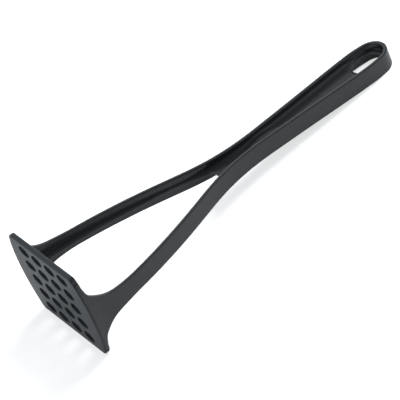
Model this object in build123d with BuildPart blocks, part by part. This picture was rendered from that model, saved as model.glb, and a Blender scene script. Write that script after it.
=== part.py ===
"""One-hand potato masher moulded in nylon: a looped handle frame and a perforated plate.

Millimetres. +Z runs up the handle, X is the spread of the two legs, Y is the depth of the band.
The origin is the centre of the plate's underside.
"""
from build123d import *
from math import cos, radians, sin
import os

# Overall sizes
overall_length = 273.7
foot_half_width = 44.4
clearance = 0.1
overrun = 1.0

# Outline of the frame, seen from the front
shin_height = 31.0
shin_inset = 5.0
foot_lean = 17.0
shin_lean = 9.5
waist_height_share = 0.5663
waist_half_width = 8.0
grip_end_drop = 24.7
grip_half_width = 12.5
end_radius = 11.7
end_lean = 8.0

# Places along a stretch: share of its height, and share of the change in half-width still to come
foot_shares = ((0.38, 0.42), (0.65, 0.28))
leg_shares = ((0.277, 0.762), (0.543, 0.436), (0.806, 0.098))
grip_shares = ((0.236, 0.889), (0.613, 0.453))

# Section of the band
band_depth = 12.3
wall_thickness = 2.4
web_thickness = 2.4

# Feet, where the band spreads over the sides of the plate
foot_depth = 56.0
foot_spread_rise = 9.0
foot_spread_depth = 48.0
foot_spread_shares = ((0.05, 0.62), (0.13, 0.44), (0.31, 0.20), (0.60, 0.053))
spread_slope = 0.3
spread_pull_share = 0.5
foot_sections = 7
foot_stations = 5
upper_stations = 16
bow_radius = 78.0

# Gap between the legs
gap_foot_inset = 9.8
gap_shin_drop = 10.0
gap_shin_inset = 6.4
gap_shares = ((0.30, 0.832), (0.60, 0.555), (0.87, 0.233))
crotch_drop = 24.1
crotch_radius = 6.3
crotch_lean = 21.0
gap_lean = 4.0

# Hanging eye and the domed oval pad at the waist
eye_half_width = 9.4
eye_half_height = 11.0
eye_drop = 16.5
pad_half_width = 5.4
pad_half_height = 14.5
pad_rise = 15.5
pad_bulge = 1.8

# Plate
plate_depth = 64.0
plate_thickness = 3.7
plate_corner_radius = 3.5
plate_chamfer = 0.4
lip_thickness = 0.8
tongue_height_share = 0.5

# Oval holes
hole_length = 12.0
hole_width = 6.9
hole_pitch_x = 15.5
hole_pitch_y = 12.15
hole_columns = 4
hole_rows = 5

# Tongue on each foot and its groove in the plate
tongue_reach = 0.9
tongue_height = 1.2
tongue_length = 44.0


def between(start, end, share):
    """Value that lies the given share of the way from start to end."""
    return start + (end - start) * share


def stretch(start, end, shares):
    """Points from start to end, with the places between given as shares of height and half-width."""
    (start_x, start_z), (end_x, end_z) = start, end
    inner = [(between(end_x, start_x, wide), between(start_z, end_z, high)) for high, wide in shares]
    return [start, *inner, end]


def lean(angle):
    """Direction that rises and leans inwards by an angle from the vertical."""
    return (-sin(radians(angle)), cos(radians(angle)))


# Heights and half-widths that follow from the sizes above
shin_half_width = foot_half_width - shin_inset
waist_height = overall_length * waist_height_share
grip_height = overall_length - grip_end_drop
eye_height = overall_length - eye_drop
pad_height = waist_height + pad_rise
crotch_height = waist_height - crotch_drop
foot_spread_height = shin_height + foot_spread_rise
gap_foot_half_width = foot_half_width - gap_foot_inset
gap_shin_height = shin_height - gap_shin_drop
gap_shin_half_width = shin_half_width - gap_shin_inset

# Corner points of the outline
end_centre_height = overall_length - end_radius
foot_point = (foot_half_width, 0)
shin_point = (shin_half_width, shin_height)
waist_point = (waist_half_width, waist_height)
grip_point = (grip_half_width, grip_height)
shoulder_point = (end_radius * cos(radians(end_lean)), end_centre_height + end_radius * sin(radians(end_lean)))
end_point = (0, overall_length)

# Corner points of the gap
crotch_centre_height = crotch_height - crotch_radius
crotch_point = (
    crotch_radius * cos(radians(crotch_lean)),
    crotch_centre_height + crotch_radius * sin(radians(crotch_lean)),
)
crotch_quarter_point = (
    crotch_radius * sin(radians(30)),
    crotch_centre_height + crotch_radius * cos(radians(30)),
)
crotch_top = (0, crotch_height)
gap_line = stretch((gap_shin_half_width, gap_shin_height), crotch_point, gap_shares)[:-1]
gap_line = [(gap_foot_half_width, 0), *gap_line]

# Seat of a foot in the plate, deep enough for its sloping wall
seat_depth = wall_thickness + plate_thickness * sin(radians(foot_lean)) + clearance

# Edge of a foot in the side view
foot_bottom = lip_thickness + clearance
spread_pulls = [spread_pull_share, spread_pull_share]
spread_line = stretch((foot_spread_depth / 2, plate_thickness), (band_depth / 2, foot_spread_height), foot_spread_shares)

# Outer line of a foot, of a leg and of one side of the grip
foot_line = stretch(foot_point, shin_point, foot_shares)
leg_line = stretch(shin_point, waist_point, leg_shares)
grip_line = stretch(waist_point, grip_point, grip_shares)

# Outer line of one side of the frame: its foot, and its leg and grip
with BuildLine() as side_lines:
    foot_edge = Spline(*foot_line, tangents=[lean(foot_lean), lean(shin_lean)])
    upper_edge = Spline(*leg_line, *grip_line[1:], shoulder_point, tangents=[lean(shin_lean), lean(end_lean)])


def inset(edge, distance, count):
    """Spline that follows an edge at a distance inside it."""
    points = []
    for i in range(count + 1):
        point = edge @ (i / count)
        slope = edge % (i / count)
        points.append((point.X - distance * slope.Y, point.Y + distance * slope.X))
    return Spline(*points, tangents=[edge % 0, edge % 1])


def inside(distance):
    """Closed line at a distance inside the frame's outline, as if it had no gap between the legs."""
    with BuildLine() as line:
        lower = inset(foot_edge, distance, foot_stations)
        upper = inset(upper_edge, distance, upper_stations)
        quarter = (
            (end_radius - distance) * sin(radians(45)),
            end_centre_height + (end_radius - distance) * cos(radians(45)),
        )
        ThreePointArc(upper @ 1, quarter, (0, overall_length - distance))
        mirror(about=Plane.YZ)
        Line(lower @ 0, (-(lower @ 0).X, (lower @ 0).Y))
    return line


# Wall that runs up one leg, round the end and down the other
with BuildSketch(Plane.XZ) as band:
    make_face(inside(0).line)
    make_face(inside(wall_thickness).line, mode=Mode.SUBTRACT)
    Rectangle(2 * foot_half_width + overrun, 2 * shin_height, mode=Mode.SUBTRACT)

# Gap between the legs
with BuildSketch(Plane.XZ) as gap:
    with BuildLine() as gap_edges:
        Spline(*gap_line, crotch_point, tangents=[lean(gap_lean), lean(crotch_lean)])
        ThreePointArc(crotch_point, crotch_quarter_point, crotch_top)
        mirror(about=Plane.YZ)
        Line(gap_line[0], (-gap_foot_half_width, 0))
    make_face()

# Web that joins the walls, at the middle of their depth
with BuildSketch(Plane.XZ) as web:
    make_face(inside(wall_thickness / 2).line)
    add(gap.sketch_local, mode=Mode.SUBTRACT)
    with Locations((0, eye_height)):
        Ellipse(eye_half_width, eye_half_height, mode=Mode.SUBTRACT)
    Rectangle(2 * foot_half_width, 2 * (plate_thickness + clearance), mode=Mode.SUBTRACT)

# Side view of the frame: the feet spread over the sides of the plate
with BuildSketch(Plane.YZ) as side_view:
    with BuildLine():
        Polyline((0, foot_bottom), (foot_depth / 2, foot_bottom), (foot_depth / 2, plate_thickness), spread_line[0])
        Spline(*spread_line, tangents=[(-1, spread_slope), (0, 1)], tangent_scalars=spread_pulls)
        Polyline(spread_line[-1], (band_depth / 2, overall_length + overrun), (0, overall_length + overrun))
        mirror(about=Plane.YZ)
    make_face()

# One foot's wall: level sections that follow the bowed side of the plate and flatten out upwards
with BuildPart() as foot:
    for i in range(foot_sections):
        point = foot_edge @ (i / (foot_sections - 1))
        slope = foot_edge % (i / (foot_sections - 1))
        reach = foot_depth / 2 + overrun
        bow = (1 - point.Y / shin_height) ** 2 * reach**2 / (2 * bow_radius)
        inner = point.X - wall_thickness / slope.Y
        with BuildSketch(Plane.XY.offset(point.Y)):
            with BuildLine():
                Spline((point.X - bow, -reach), (point.X, 0), (point.X - bow, reach))
                Line((point.X - bow, reach), (inner - bow, reach))
                Spline((inner - bow, reach), (inner, 0), (inner - bow, -reach))
                Line((inner - bow, -reach), (point.X - bow, -reach))
            make_face()
    loft()

# Radii of the domed pad across the handle and along it
pad_across_radius = (pad_half_width**2 + pad_bulge**2) / (2 * pad_bulge)
pad_along_radius = (pad_half_height**2 + pad_bulge**2) / (2 * pad_bulge)
pad_root = web_thickness / 4
pad_cover = pad_root + pad_bulge + overrun

# Domed pad: the outermost part of a ring that lies across the handle, rooted in the web
with BuildPart() as pad:
    with Locations((0, pad_along_radius - pad_bulge - web_thickness / 2, pad_height)):
        Torus(pad_along_radius - pad_across_radius, pad_across_radius, rotation=(0, 90, 0))
    with Locations((0, -pad_root - pad_cover / 2, pad_height)):
        Box(2 * (pad_half_width + pad_root), pad_cover, 2 * (pad_half_height + wall_thickness), mode=Mode.INTERSECT)

# Outline of the plate, bowed along the feet
with BuildSketch() as plate_outline:
    Rectangle(2 * foot_half_width, plate_depth)
    with Locations((foot_half_width - bow_radius, 0)):
        Circle(bow_radius, mode=Mode.INTERSECT)
    with Locations((bow_radius - foot_half_width, 0)):
        Circle(bow_radius, mode=Mode.INTERSECT)
    fillet(plate_outline.vertices(), plate_corner_radius)


def strip(outer, inner, length):
    """Strips along both bowed sides of the plate, between two distances in from its outline."""
    with BuildSketch() as strips:
        offset(plate_outline.sketch, amount=-outer)
        offset(plate_outline.sketch, amount=-inner, mode=Mode.SUBTRACT)
        Rectangle(2 * foot_half_width, length, mode=Mode.INTERSECT)
    return strips.sketch


heel_depth = seat_depth - clearance
tongue_bottom = between(foot_bottom, plate_thickness, tongue_height_share) - tongue_height / 2

with BuildPart() as handle_frame:
    extrude(band.sketch, amount=foot_depth / 2 + overrun, both=True)
    add(foot.part)
    mirror(foot.part, about=Plane.YZ)
    extrude(web.sketch, amount=web_thickness / 2, both=True)
    extrude(side_view.sketch, amount=foot_half_width + overrun, both=True, mode=Mode.INTERSECT)
    with BuildSketch(Plane.XY.offset(foot_bottom)):
        add(strip(wall_thickness / 2, heel_depth, foot_depth))
    extrude(amount=plate_thickness - foot_bottom)
    with BuildSketch(Plane.XY.offset(tongue_bottom)):
        add(strip(wall_thickness, heel_depth + tongue_reach, tongue_length))
    extrude(amount=tongue_height)
    add(pad.part)
handle_frame.part.label = "handle_frame"

with BuildPart() as mashing_plate:
    extrude(plate_outline.sketch, amount=plate_thickness)
    levels = mashing_plate.edges().group_by(Axis.Z)
    chamfer(levels[0] + levels[-1], plate_chamfer)
    with BuildSketch():
        with GridLocations(hole_pitch_x, hole_pitch_y, hole_columns, hole_rows):
            Ellipse(hole_length / 2, hole_width / 2)
    extrude(amount=plate_thickness, mode=Mode.SUBTRACT)
    with BuildSketch(Plane.XY.offset(lip_thickness)):
        add(strip(0, seat_depth, foot_depth + 2 * clearance))
    extrude(amount=plate_thickness, mode=Mode.SUBTRACT)
    with BuildSketch(Plane.XY.offset(tongue_bottom - clearance)):
        add(strip(wall_thickness, seat_depth + tongue_reach, tongue_length + 2 * clearance))
    extrude(amount=tongue_height + 2 * clearance, mode=Mode.SUBTRACT)
mashing_plate.part.label = "mashing_plate"

os.makedirs("parts", exist_ok=True)
for piece in (handle_frame, mashing_plate):
    export_step(piece.part, f"parts/{piece.part.label}.step")
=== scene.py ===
"""Dresses the potato masher's CAD frame: satin black nylon, soft studio light and the photograph's camera.

Metres. +Z runs up the handle, X is the spread of the legs, Y is the depth of the band, and -Y faces up in the
photograph, where the masher lies on its back.
"""

import logging
import math
from dataclasses import dataclass
from enum import Enum

import bmesh
import bpy
from mathutils import Matrix, Vector

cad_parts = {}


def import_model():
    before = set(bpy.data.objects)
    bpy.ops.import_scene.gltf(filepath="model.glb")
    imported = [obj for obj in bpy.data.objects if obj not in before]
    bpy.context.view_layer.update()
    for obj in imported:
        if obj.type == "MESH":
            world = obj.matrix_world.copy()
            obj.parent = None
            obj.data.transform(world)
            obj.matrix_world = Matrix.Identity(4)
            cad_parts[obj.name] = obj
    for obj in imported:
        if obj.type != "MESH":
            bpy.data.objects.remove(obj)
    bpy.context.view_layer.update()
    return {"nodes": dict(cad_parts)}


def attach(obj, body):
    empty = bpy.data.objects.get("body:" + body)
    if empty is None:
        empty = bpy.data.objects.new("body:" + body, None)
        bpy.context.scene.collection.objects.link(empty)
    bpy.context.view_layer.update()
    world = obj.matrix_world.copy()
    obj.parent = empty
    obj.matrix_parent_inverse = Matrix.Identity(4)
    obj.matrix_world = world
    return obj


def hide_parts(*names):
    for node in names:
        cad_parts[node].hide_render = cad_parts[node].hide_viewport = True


LOG = logging.getLogger("masher")

Point = tuple[float, float, float]
Colour = tuple[float, float, float, float]
Span = tuple[float, float]

WHITE: Colour = (1.0, 1.0, 1.0, 1.0)
COOL_WHITE: Point = (0.91, 0.965, 1.0)
# Half the length and half the width of the area of the plate that holds the holes.
HOLE_FIELD: Span = (0.0298, 0.0292)


class Node(Enum):
    """CAD nodes of the masher."""

    FRAME = "handle_frame"
    PLATE = "mashing_plate"


class Ray(Enum):
    """Rays that see the bright surroundings at full strength."""

    CAMERA = "Is Camera Ray"
    GLOSSY = "Is Glossy Ray"
    TRANSMISSION = "Is Transmission Ray"


class Blend(Enum):
    """Kinds of value that a Mix node mixes, by the ending of its sockets' identifiers."""

    FLOAT = "Float"
    VECTOR = "Vector"


def add_object(name: str, data: bpy.types.ID) -> bpy.types.Object:
    """Makes an object and links it to the scene.

    Args:
        name: The object's name.
        data: Its mesh, light or camera.

    Returns:
        The new object.
    """
    made = bpy.data.objects.new(name, data)
    bpy.context.scene.collection.objects.link(made)
    return made


class NodeTree:
    """Thin helper that adds shader nodes to a tree and feeds them with sockets or fixed values."""

    def __init__(self, tree: bpy.types.NodeTree) -> None:
        """Empties the node tree of a material or of the world."""
        self.tree = tree
        tree.nodes.clear()

    def feed(self, target: bpy.types.NodeSocket, value: object) -> None:
        """Links a socket to an input, or sets the input to a fixed value.

        Args:
            target: The input.
            value: A socket, or a number, colour or vector.
        """
        if isinstance(value, bpy.types.NodeSocket):
            self.tree.links.new(value, target)
        else:
            target.default_value = value

    def add(self, kind: str, **values: object) -> bpy.types.Node:
        """Adds a node, sets its properties and feeds the inputs that have these names.

        Args:
            kind: The node's type, such as "ShaderNodeMath".
            **values: Properties by name, or inputs by name with spaces written as underscores.

        Returns:
            The new node.
        """
        node = self.tree.nodes.new(kind)
        for name, value in values.items():
            if hasattr(node, name):
                setattr(node, name, value)
            else:
                self.feed(node.inputs[name.replace("_", " ")], value)
        return node

    def feed_in_order(self, node: bpy.types.Node, *values: object) -> bpy.types.Node:
        """Feeds the first inputs of a node in their order.

        Args:
            node: The node.
            *values: Sockets or fixed values.

        Returns:
            The same node.
        """
        for target, value in zip(node.inputs, values):
            self.feed(target, value)
        return node

    def math(self, operation: str, first: object, second: object) -> bpy.types.NodeSocket:
        """Adds a Math node of one operation on two sockets or numbers, and returns its output."""
        node = self.add("ShaderNodeMath", operation=operation)
        return self.feed_in_order(node, first, second).outputs["Value"]

    def dot(self, first: object, second: object) -> bpy.types.NodeSocket:
        """Adds the dot product of two sockets or vectors, and returns its output."""
        node = self.add("ShaderNodeVectorMath", operation="DOT_PRODUCT")
        return self.feed_in_order(node, first, second).outputs["Value"]

    def mix(self, blend: Blend, factor: object, first: object, second: object) -> bpy.types.NodeSocket:
        """Adds a mix of two values.

        Args:
            blend: The kind of value.
            factor: Share of the second value.
            first: A socket or a fixed value.
            second: A socket or a fixed value.

        Returns:
            The mixed value.
        """
        node = self.add("ShaderNodeMix", data_type=blend.name)
        sockets = {socket.identifier: socket for socket in (*node.inputs, *node.outputs)}
        self.feed(sockets["Factor_Float"], factor)
        self.feed(sockets[f"A_{blend.value}"], first)
        self.feed(sockets[f"B_{blend.value}"], second)
        return sockets[f"Result_{blend.value}"]

    def mix_shaders(self, factor: object, first: object, second: object) -> bpy.types.NodeSocket:
        """Adds a mix of two shaders, whose factor is the share of the second, and returns its output."""
        return self.feed_in_order(self.add("ShaderNodeMixShader"), factor, first, second).outputs["Shader"]

    def split(self, vector: bpy.types.NodeSocket) -> bpy.types.NodeOutputs:
        """Adds a node that splits a vector, and returns its outputs X, Y and Z."""
        return self.add("ShaderNodeSeparateXYZ", Vector=vector).outputs

    def facing(self) -> bpy.types.NodeSocket:
        """Adds and returns the normal of the faces themselves, without smoothing."""
        return self.add("ShaderNodeNewGeometry").outputs["True Normal"]

    def within(self, value: bpy.types.NodeSocket, most: float) -> bpy.types.NodeSocket:
        """Adds a factor that is 1 where a value departs from zero by less than a limit, and returns it."""
        return self.math("LESS_THAN", self.math("ABSOLUTE", value, 0.0), most)

    def falling(self, value: bpy.types.NodeSocket, span: Span) -> bpy.types.NodeSocket:
        """Adds a factor that falls from 1 to 0 as a value runs through a span.

        Args:
            value: The value.
            span: Where the factor starts to fall and where it ends.

        Returns:
            The factor.
        """
        node = self.add(
            "ShaderNodeMapRange",
            Value=value,
            From_Min=span[0],
            From_Max=span[1],
            To_Min=1.0,
            To_Max=0.0,
        )
        return node.outputs["Result"]

    def seen(self, *rays: Ray) -> bpy.types.NodeSocket:
        """Adds a factor that is 1 for some kinds of ray and 0 for the others.

        Args:
            *rays: The kinds of ray.

        Returns:
            The factor.
        """
        path = self.add("ShaderNodeLightPath")
        factor = path.outputs[rays[0].value]
        for ray in rays[1:]:
            factor = self.math("MAXIMUM", factor, path.outputs[ray.value])
        return factor


@dataclass(frozen=True)
class Cloud:
    """Noise that runs through the solid of a piece.

    Attributes:
        per_metre: Cells in a metre.
        detail: Octaves of finer noise on top of the cells.
        roughness: How much each octave keeps of the one before.
    """

    per_metre: float
    detail: float
    roughness: float

    def build(self, nodes: NodeTree, place: bpy.types.NodeSocket) -> bpy.types.NodeSocket:
        """Adds the noise.

        Args:
            nodes: The material's nodes.
            place: The object coordinates.

        Returns:
            The noise, from 0 to 1.
        """
        noise = nodes.add(
            "ShaderNodeTexNoise",
            Vector=place,
            Scale=self.per_metre,
            Detail=self.detail,
            Roughness=self.roughness,
        )
        return noise.outputs["Fac"]


@dataclass(frozen=True)
class Finish:
    """A finish of its own material.

    Attributes:
        name: The material's name.
    """

    name: str

    def build(self) -> bpy.types.Material:
        """Makes the material.

        Returns:
            A material of procedural nodes.
        """
        material = bpy.data.materials.new(self.name)
        material.use_nodes = True
        nodes = NodeTree(material.node_tree)
        nodes.add("ShaderNodeOutputMaterial", Surface=self.surface(nodes))
        return material

    def surface(self, nodes: NodeTree) -> bpy.types.NodeSocket:
        """Adds the shader of the surface.

        Args:
            nodes: The material's nodes.

        Returns:
            The shader.
        """
        raise NotImplementedError


@dataclass(frozen=True)
class NylonFinish(Finish):
    """Satin black nylon with a fine spark-eroded grain and faint handling marks.

    Attributes:
        dark: Colour of the darker flecks.
        light: Colour of the lighter flecks.
        flecks: Shares of the grain at which the darker and the lighter flecks set in.
        roughness: Mean roughness.
        roughness_swing: Most that the roughness departs from its mean.
        specular: Specular level of the surface.
        tint: Tint of the reflections.
        grain: Noise of the grain, whose cells are 0.22 mm wide.
        grain_height: Height of the grain in metres.
        grain_strength: How strongly the grain shows.
        marks: Noise of the handling marks.
        rim: Radius of the rounding on the edges, in metres.
        samples: Samples of the rounding.
        ior: Index of refraction of nylon.
    """

    dark: Colour = (0.0150, 0.0158, 0.0167, 1.0)
    light: Colour = (0.0235, 0.0246, 0.0258, 1.0)
    flecks: Span = (0.35, 0.65)
    roughness: float = 0.28
    roughness_swing: float = 0.05
    specular: float = 0.53
    tint: Colour = (0.98, 0.99, 1.0, 1.0)
    grain: Cloud = Cloud(per_metre=1.0 / 0.00022, detail=2.0, roughness=0.55)
    grain_height: float = 0.000012
    grain_strength: float = 0.15
    marks: Cloud = Cloud(per_metre=55.0, detail=3.0, roughness=0.5)
    rim: float = 0.0015
    samples: int = 16
    ior: float = 1.53

    def surface(self, nodes: NodeTree) -> bpy.types.NodeSocket:
        """Adds the grained nylon.

        Args:
            nodes: The material's nodes.

        Returns:
            The shader.
        """
        place = nodes.add("ShaderNodeTexCoord").outputs["Object"]
        grain = self.grain.build(nodes, place)
        ramp = nodes.add("ShaderNodeValToRGB", Fac=grain)
        for element, share, colour in zip(ramp.color_ramp.elements, self.flecks, (self.dark, self.light)):
            element.position, element.color = share, colour
        bump = nodes.add(
            "ShaderNodeBump",
            Strength=self.grain_strength,
            Distance=self.grain_height,
            Height=grain,
            Normal=self.rounded(nodes, place),
        )
        shader = nodes.add(
            "ShaderNodeBsdfPrincipled",
            Base_Color=ramp.outputs["Color"],
            Roughness=self.satin(nodes, place),
            IOR=self.ior,
            Specular_IOR_Level=self.specular,
            Specular_Tint=self.tint,
            Normal=bump.outputs["Normal"],
        )
        return shader.outputs["BSDF"]

    def satin(self, nodes: NodeTree, place: bpy.types.NodeSocket) -> bpy.types.NodeSocket:
        """Adds and returns the roughness, which handling has changed a little here and there."""
        swing = nodes.math("SUBTRACT", self.marks.build(nodes, place), 0.5)
        return nodes.math("ADD", nodes.math("MULTIPLY", swing, 2.0 * self.roughness_swing), self.roughness)

    def rounded(self, nodes: NodeTree, place: bpy.types.NodeSocket) -> bpy.types.NodeSocket:
        """Adds and returns the normal of the rounded edges."""
        return self.bevel(nodes, self.rim)

    def bevel(self, nodes: NodeTree, radius: float) -> bpy.types.NodeSocket:
        """Adds and returns the normal of edges and roots that are rounded to a radius in metres."""
        return nodes.add("ShaderNodeBevel", samples=self.samples, Radius=radius).outputs["Normal"]


@dataclass(frozen=True)
class FrameNylon(NylonFinish):
    """Nylon of the looped frame, whose channels are hollowed where the web meets the walls.

    Attributes:
        root: Radius of the hollow, in metres.
        hollow_depths: Distances from the band's middle plane between which the hollow gives way to the rim.
        loop_centre: Height of the loop's centre, in metres.
        loop_heights: Heights between which the hollow dies out towards the loop, in metres.
        crotch_heights: Heights between which the hollow of the legs grows to that of the grip, in metres.
        leg_share: How much of the hollow the legs have.
        inwards: Highest product of normal and place that counts as facing inwards.
    """

    name: str = "nylon_frame"
    root: float = 0.0048
    hollow_depths: Span = (0.0038, 0.0052)
    loop_centre: float = 0.262
    loop_heights: Span = (0.246, 0.260)
    crotch_heights: Span = (0.122, 0.145)
    leg_share: float = 0.35
    inwards: float = 0.0002

    def rounded(self, nodes: NodeTree, place: bpy.types.NodeSocket) -> bpy.types.NodeSocket:
        """Adds the normal of the rounded rims and of the hollow inside the channels.

        Args:
            nodes: The material's nodes.
            place: The object coordinates.

        Returns:
            The normal.
        """
        where = nodes.split(place)
        deep = nodes.falling(nodes.math("ABSOLUTE", where["Y"], 0.0), self.hollow_depths)
        below = nodes.falling(where["Z"], self.loop_heights)
        grip = nodes.math("SUBTRACT", 1.0, nodes.falling(where["Z"], self.crotch_heights))
        along = nodes.math("MULTIPLY", below, nodes.math("MAXIMUM", grip, self.leg_share))
        above = nodes.math("MAXIMUM", nodes.math("SUBTRACT", where["Z"], self.loop_centre), 0.0)
        outwards = nodes.add("ShaderNodeCombineXYZ", X=where["X"], Z=above).outputs["Vector"]
        inside = nodes.math("LESS_THAN", nodes.dot(nodes.facing(), outwards), self.inwards)
        hollow = nodes.math("MULTIPLY", inside, nodes.math("MULTIPLY", deep, along))
        return nodes.mix(Blend.VECTOR, hollow, super().rounded(nodes, place), self.bevel(nodes, self.root))


@dataclass(frozen=True)
class PlateNylon(NylonFinish):
    """Nylon of the plate, duller than the frame's and polished inside the holes.

    Attributes:
        bore_roughness: Roughness of the holes' walls.
        upright: Most that the normal of a hole's wall leans out of level.
        field: Half the length and half the width of the area that holds the holes, in metres.
    """

    name: str = "nylon_plate"
    dark: Colour = (0.0105, 0.0130, 0.0160, 1.0)
    light: Colour = (0.0180, 0.0215, 0.0260, 1.0)
    roughness: float = 0.43
    specular: float = 0.5
    tint: Colour = (0.93, 0.97, 1.0, 1.0)
    rim: float = 0.0007
    bore_roughness: float = 0.26
    upright: float = 0.5
    field: Span = HOLE_FIELD

    def satin(self, nodes: NodeTree, place: bpy.types.NodeSocket) -> bpy.types.NodeSocket:
        """Adds the roughness, lower in the holes.

        Args:
            nodes: The material's nodes.
            place: The object coordinates.

        Returns:
            The roughness.
        """
        bore = nodes.within(nodes.split(nodes.facing())["Z"], self.upright)
        where = nodes.split(place)
        for axis, half in zip("XY", self.field):
            bore = nodes.math("MULTIPLY", bore, nodes.within(where[axis], half))
        return nodes.mix(Blend.FLOAT, bore, super().satin(nodes, place), self.bore_roughness)


@dataclass(frozen=True)
class FloorFinish(Finish):
    """White table top that is seen from its upper side only.

    Attributes:
        white: Colour of the table.
        glow: Strength added in the picture, which keeps the table as white as the background.
        gloss_glow: Strength added in reflections.
    """

    name: str = "stage_white"
    white: Colour = (0.85, 0.85, 0.85, 1.0)
    glow: float = 0.64
    gloss_glow: float = 0.18

    def surface(self, nodes: NodeTree) -> bpy.types.NodeSocket:
        """Adds the white top, which is clear from below.

        Args:
            nodes: The material's nodes.

        Returns:
            The shader.
        """
        plain = nodes.math("MULTIPLY", nodes.seen(Ray.CAMERA, Ray.TRANSMISSION), self.glow)
        gloss = nodes.math("MULTIPLY", nodes.seen(Ray.GLOSSY), self.gloss_glow)
        top = nodes.add(
            "ShaderNodeBsdfPrincipled",
            Base_Color=self.white,
            Roughness=1.0,
            Specular_IOR_Level=0.0,
            Emission_Color=WHITE,
            Emission_Strength=nodes.math("ADD", plain, gloss),
        )
        clear = nodes.add("ShaderNodeBsdfTransparent")
        below = nodes.add("ShaderNodeNewGeometry").outputs["Backfacing"]
        return nodes.mix_shaders(below, top.outputs["BSDF"], clear.outputs["BSDF"])


@dataclass(frozen=True)
class Moulding:
    """A CAD node's solid as it leaves the mould, in its finish.

    Attributes:
        node: The CAD node it stands for.
        name: The piece's name.
        slot: The record's material slot. Not used.
        finish: Its material.
    """

    node: Node
    name: str
    slot: str
    finish: NylonFinish

    def build(self, cad: bpy.types.Object) -> bpy.types.Object:
        """Makes the piece from the node's solid and lets it stand for the node.

        Args:
            cad: The node's object.

        Returns:
            The new piece.
        """
        mesh = self.form(cad)
        mesh.materials.clear()
        mesh.materials.append(self.finish.build())
        piece = add_object(self.name, mesh)
        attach(piece, "root")
        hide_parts(self.node.value)
        LOG.info("%s: %d faces", self.name, len(mesh.polygons))
        return piece

    def form(self, cad: bpy.types.Object) -> bpy.types.Mesh:
        """Copies the solid.

        Args:
            cad: The node's object.

        Returns:
            The copy.
        """
        mesh = cad.data.copy()
        mesh.transform(cad.matrix_world)
        return mesh


@dataclass(frozen=True)
class LoopedFrame(Moulding):
    """The looped frame: grip, legs and feet in one moulding.

    Attributes:
        level: Most that a wall's normal leans out of level.
        straight_above: Height from which the walls run straight through the band's depth, in metres.
    """

    node: Node = Node.FRAME
    name: str = "masher_frame"
    slot: str = "nylon_frame"
    finish: NylonFinish = FrameNylon()
    level: float = 0.2
    straight_above: float = 0.032

    def form(self, cad: bpy.types.Object) -> bpy.types.Mesh:
        """Copies the solid and levels the normals of its walls, which run straight through the band's depth.

        Args:
            cad: The node's object.

        Returns:
            The copy.
        """
        mesh = super().form(cad)
        normals = []
        for loop, corner in zip(mesh.loops, mesh.corner_normals):
            normal = corner.vector.copy()
            if abs(normal.y) < self.level and mesh.vertices[loop.vertex_index].co.z > self.straight_above:
                normal.y = 0.0
            normals.append(normal.normalized())
        mesh.normals_split_custom_set(normals)
        return mesh


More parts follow.
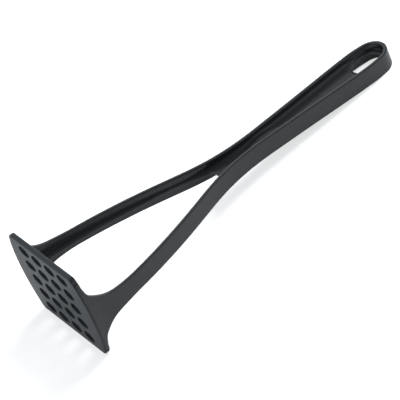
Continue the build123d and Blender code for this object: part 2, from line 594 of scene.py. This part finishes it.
@dataclass(frozen=True)
class MashingPlate(Moulding):
    """The bowed plate with its holes, whose edges are rounded.

    Attributes:
        rounding: Radius of the holes' edges in metres.
        facets: Facets across the rounding.
        profile: Shape of the rounding, where 0.5 is part of a circle.
        pitch: Distances between the holes' centres along and across, in metres.
        offset: Place of a hole's centre between two multiples of the pitch.
        hole: Half the length and half the width of the solid's holes, in metres.
        mouth: Half the length and half the width of the holes as the mould leaves them, in metres.
        field: Half the length and half the width of the area that holds the holes, in metres.
        face_lean: Least upward part of a face's normal on the plate's two faces.
        weld: Distance within which the solid's points are joined, in metres.
        most_corners: Most corners that a face keeps. One with more is cut into triangles.
        corner: Angle from which an edge counts as a corner, in degrees.
        lead: How much the large faces lead the shading.
    """

    node: Node = Node.PLATE
    name: str = "masher_plate"
    slot: str = "nylon_plate"
    finish: NylonFinish = PlateNylon()
    rounding: float = 0.0002
    facets: int = 2
    profile: float = 0.5
    pitch: Span = (0.0155, 0.01215)
    offset: Span = (0.5, 0.0)
    hole: Span = (0.006, 0.00345)
    mouth: Span = (0.0058, 0.0040)
    field: Span = HOLE_FIELD
    face_lean: float = 0.9
    weld: float = 0.000004
    most_corners: int = 4
    corner: float = 40.0
    lead: int = 80

    def build(self, cad: bpy.types.Object) -> bpy.types.Object:
        """Makes the plate and lets its flat faces lead the shading.

        Args:
            cad: The node's object.

        Returns:
            The plate.
        """
        piece = super().build(cad)
        normals = piece.modifiers.new("flat_faces_lead", "WEIGHTED_NORMAL")
        normals.keep_sharp, normals.weight = True, self.lead
        return piece

    def form(self, cad: bpy.types.Object) -> bpy.types.Mesh:
        """Copies the solid, opens its holes to the mouth's size and rounds their edges.

        Args:
            cad: The node's object.

        Returns:
            The rounded form.
        """
        form = bmesh.new()
        form.from_mesh(cad.data)
        form.transform(cad.matrix_world)
        bmesh.ops.remove_doubles(form, verts=form.verts, dist=self.weld)
        for point in form.verts:
            if self.among_holes(point.co):
                self.open_up(point.co)
        bmesh.ops.bevel(
            form,
            geom=[edge for edge in form.edges if self.borders_hole(edge)],
            offset=self.rounding,
            offset_type="OFFSET",
            segments=self.facets,
            profile=self.profile,
            affect="EDGES",
            clamp_overlap=False,
            loop_slide=True,
        )
        many_sided = [face for face in form.faces if len(face.verts) > self.most_corners]
        bmesh.ops.triangulate(form, faces=many_sided)
        mesh = bpy.data.meshes.new(self.name)
        form.to_mesh(mesh)
        form.free()
        mesh.shade_smooth()
        mesh.set_sharp_from_angle(angle=math.radians(self.corner))
        return mesh

    def among_holes(self, place: Vector) -> bool:
        """Says whether a place lies within the area that holds the holes."""
        return abs(place.x) < self.field[0] and abs(place.y) < self.field[1]

    def open_up(self, place: Vector) -> None:
        """Moves a point of a hole's wall out to the size that the mould leaves.

        Args:
            place: The point.
        """
        sizes = zip(self.pitch, self.offset, self.mouth, self.hole)
        for axis, (pitch, offset, mouth, hole) in enumerate(sizes):
            centre = (round(place[axis] / pitch - offset) + offset) * pitch
            place[axis] = centre + (place[axis] - centre) * mouth / hole

    def borders_hole(self, edge: bmesh.types.BMEdge) -> bool:
        """Says whether a hole's wall meets the plate's face here.

        Args:
            edge: An edge of the form.

        Returns:
            True for an edge that is rounded.
        """
        if len(edge.link_faces) != 2 or edge.calc_face_angle_signed(0.0) < math.radians(self.corner):
            return False
        on_face = max(abs(face.normal.z) for face in edge.link_faces) > self.face_lean
        return on_face and self.among_holes((edge.verts[0].co + edge.verts[1].co) / 2)


@dataclass(frozen=True)
class Masher:
    """The masher itself: the looped frame and the plate, both formed from their CAD solids.

    Attributes:
        pieces: Its pieces.
    """

    pieces: tuple[Moulding, ...] = (LoopedFrame(), MashingPlate())

    def build(self, nodes: dict[str, bpy.types.Object]) -> None:
        """Makes every piece.

        Args:
            nodes: The frame's objects by node name.
        """
        for piece in self.pieces:
            piece.build(nodes[piece.node.value])


@dataclass(frozen=True)
class Camera:
    """The photograph's camera, fitted to the plate's holes and to the outline of the frame.

    Attributes:
        place: Where it stands, in metres.
        right: Direction that points right in the picture.
        up: Direction that points up in the picture.
        lens: Focal length in millimetres.
        sensor: Width of the sensor in millimetres.
        clip: Nearest and farthest distance that it sees, in metres.
    """

    place: Point = (1.38204, -1.08990, -0.40374)
    right: Point = (0.548, 0.3276, 0.7697)
    up: Point = (-0.3674, -0.7324, 0.5733)
    lens: float = 259.73
    sensor: float = 36.0
    clip: Span = (0.05, 50.0)

    def build(self) -> None:
        """Makes the camera and hands it to the scene."""
        data = bpy.data.cameras.new("photo_camera")
        data.lens, data.sensor_width = self.lens, self.sensor
        data.clip_start, data.clip_end = self.clip
        camera = add_object("photo_camera", data)
        right = Vector(self.right).normalized()
        back = right.cross(Vector(self.up)).normalized()
        up = back.cross(right)
        turn = Matrix((right, up, back)).transposed().to_4x4()
        camera.matrix_world = Matrix.Translation(Vector(self.place)) @ turn
        bpy.context.scene.camera = camera


@dataclass(frozen=True)
class SoftLight:
    """Square area light that is aimed at a point and lights surfaces without showing in their gloss.

    Attributes:
        name: The light's name.
        direction: Direction from the masher towards the light.
        distance: How far away it stands, in metres.
        size: Length of its sides in metres.
        power: Its power in watts.
        aim: The point it faces.
        colour: Its colour.
    """

    name: str
    direction: Point
    distance: float
    size: float
    power: float
    aim: Point = (0.0, 0.0, 0.13)
    colour: Point = COOL_WHITE

    def build(self) -> None:
        """Makes the light."""
        data = bpy.data.lights.new(self.name, "AREA")
        data.shape, data.size, data.energy = "SQUARE", self.size, self.power
        data.color = self.colour
        light = add_object(self.name, data)
        back = Vector(self.direction).normalized()
        light.location = Vector(self.aim) + back * self.distance
        light.rotation_mode = "QUATERNION"
        light.rotation_quaternion = back.to_track_quat("Z", "Y")
        light.visible_glossy = False


@dataclass(frozen=True)
class Shade:
    """Part of the room that is darker than the rest.

    Attributes:
        way: Direction of its middle.
        edge: Cosine of the angle from there at which it starts.
        core: Cosine of the angle from there at which it is darkest.
        strength: How bright its darkest place is, as a share of the rest.
    """

    way: Point
    edge: float
    core: float
    strength: float

    def build(self, nodes: NodeTree, way: bpy.types.NodeSocket) -> bpy.types.NodeSocket:
        """Adds the nodes of this shade.

        Args:
            nodes: The world's nodes.
            way: Direction that a ray looks in.

        Returns:
            The factor on the room's strength.
        """
        span = nodes.add(
            "ShaderNodeMapRange",
            interpolation_type="SMOOTHSTEP",
            Value=nodes.dot(way, Vector(self.way).normalized()),
            From_Min=self.edge,
            From_Max=self.core,
            To_Min=1.0,
            To_Max=self.strength,
        )
        return span.outputs["Result"]


@dataclass(frozen=True)
class World:
    """White room: plain white behind the masher, with a dimmer ceiling and a dark front in reflections.

    Attributes:
        seen: Strength of the background and of the bright part of the room.
        fill: Strength that lights the surfaces.
        cool: Colour of the room's light.
        ceiling: The dim ceiling, above the table.
        front: The dark front of the room.
    """

    seen: float = 1.0
    fill: float = 0.38
    cool: Colour = (*COOL_WHITE, 1.0)
    ceiling: Shade = Shade(way=(-0.18, -0.945, 0.28), edge=0.66, core=0.93, strength=0.12)
    front: Shade = Shade(way=(0.7515, -0.5969, -0.281), edge=0.74, core=0.92, strength=0.12)

    def build(self) -> None:
        """Makes the world's nodes."""
        world = bpy.data.worlds.new("studio")
        world.use_nodes = True
        bpy.context.scene.world = world
        nodes = NodeTree(world.node_tree)
        room = nodes.add("ShaderNodeBackground", Color=self.cool, Strength=self.room_strength(nodes))
        plain = nodes.add("ShaderNodeBackground", Color=WHITE, Strength=self.seen)
        directly = nodes.seen(Ray.CAMERA, Ray.TRANSMISSION)
        surroundings = nodes.mix_shaders(directly, room.outputs["Background"], plain.outputs["Background"])
        nodes.add("ShaderNodeOutputWorld", Surface=surroundings)

    def room_strength(self, nodes: NodeTree) -> bpy.types.NodeSocket:
        """Adds the strength of the room: by direction for reflections, and the plain fill for all other rays.

        Args:
            nodes: The world's nodes.

        Returns:
            The strength.
        """
        glossy = nodes.seen(Ray.GLOSSY)
        way = nodes.add("ShaderNodeTexCoord").outputs["Generated"]
        shaded = nodes.math("MULTIPLY", self.ceiling.build(nodes, way), self.front.build(nodes, way))
        shown = nodes.math("MULTIPLY", nodes.math("MULTIPLY", shaded, self.seen), glossy)
        other = nodes.math("MULTIPLY", nodes.math("SUBTRACT", 1.0, glossy), self.fill)
        return nodes.math("ADD", shown, other)


@dataclass(frozen=True)
class Studio:
    """Table, light and surroundings.

    Attributes:
        floor: The table's finish.
        floor_size: Length of the table's sides in metres.
        rest_low: Place in the YZ plane where the plate's edge rests on the table.
        rest_high: Place in the YZ plane where the handle's end rests on the table.
        world: The surroundings.
        light: The lamp.
    """

    floor: FloorFinish = FloorFinish()
    floor_size: float = 6.0
    rest_low: Span = (0.0322, 0.0037)
    rest_high: Span = (0.0066, 0.262)
    world: World = World()
    light: SoftLight = SoftLight(
        name="overhead",
        direction=(-0.10, -0.72, 0.68),
        distance=1.6,
        size=1.1,
        power=24.0,
    )

    def build(self) -> None:
        """Makes the surroundings, the light and the table."""
        self.world.build()
        self.light.build()
        self.table()

    def table(self) -> bpy.types.Object:
        """Lays the table under the masher's back.

        Returns:
            The table's object.
        """
        low, high = Vector((0.0, *self.rest_low)), Vector((0.0, *self.rest_high))
        along = (high - low).normalized() * (self.floor_size / 2)
        across = Vector((self.floor_size / 2, 0.0, 0.0))
        top = [low - across - along, low + across - along, low + across + along, low - across + along]
        mesh = bpy.data.meshes.new("table")
        mesh.from_pydata(top, [], [(0, 1, 2, 3)])
        mesh.materials.append(self.floor.build())
        return add_object("table", mesh)


def main() -> None:
    """Builds the masher and its studio in order and notes the sizes."""
    logging.basicConfig(level=logging.INFO, format="%(name)s: %(message)s")
    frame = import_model()
    LOG.info("frame loaded")
    Masher().build(frame["nodes"])
    LOG.info("masher dressed")
    Studio().build()
    Camera().build()
    bpy.context.scene.view_settings.view_transform = "Standard"
    LOG.info("studio and camera ready")


if __name__ == "__main__":
    main()
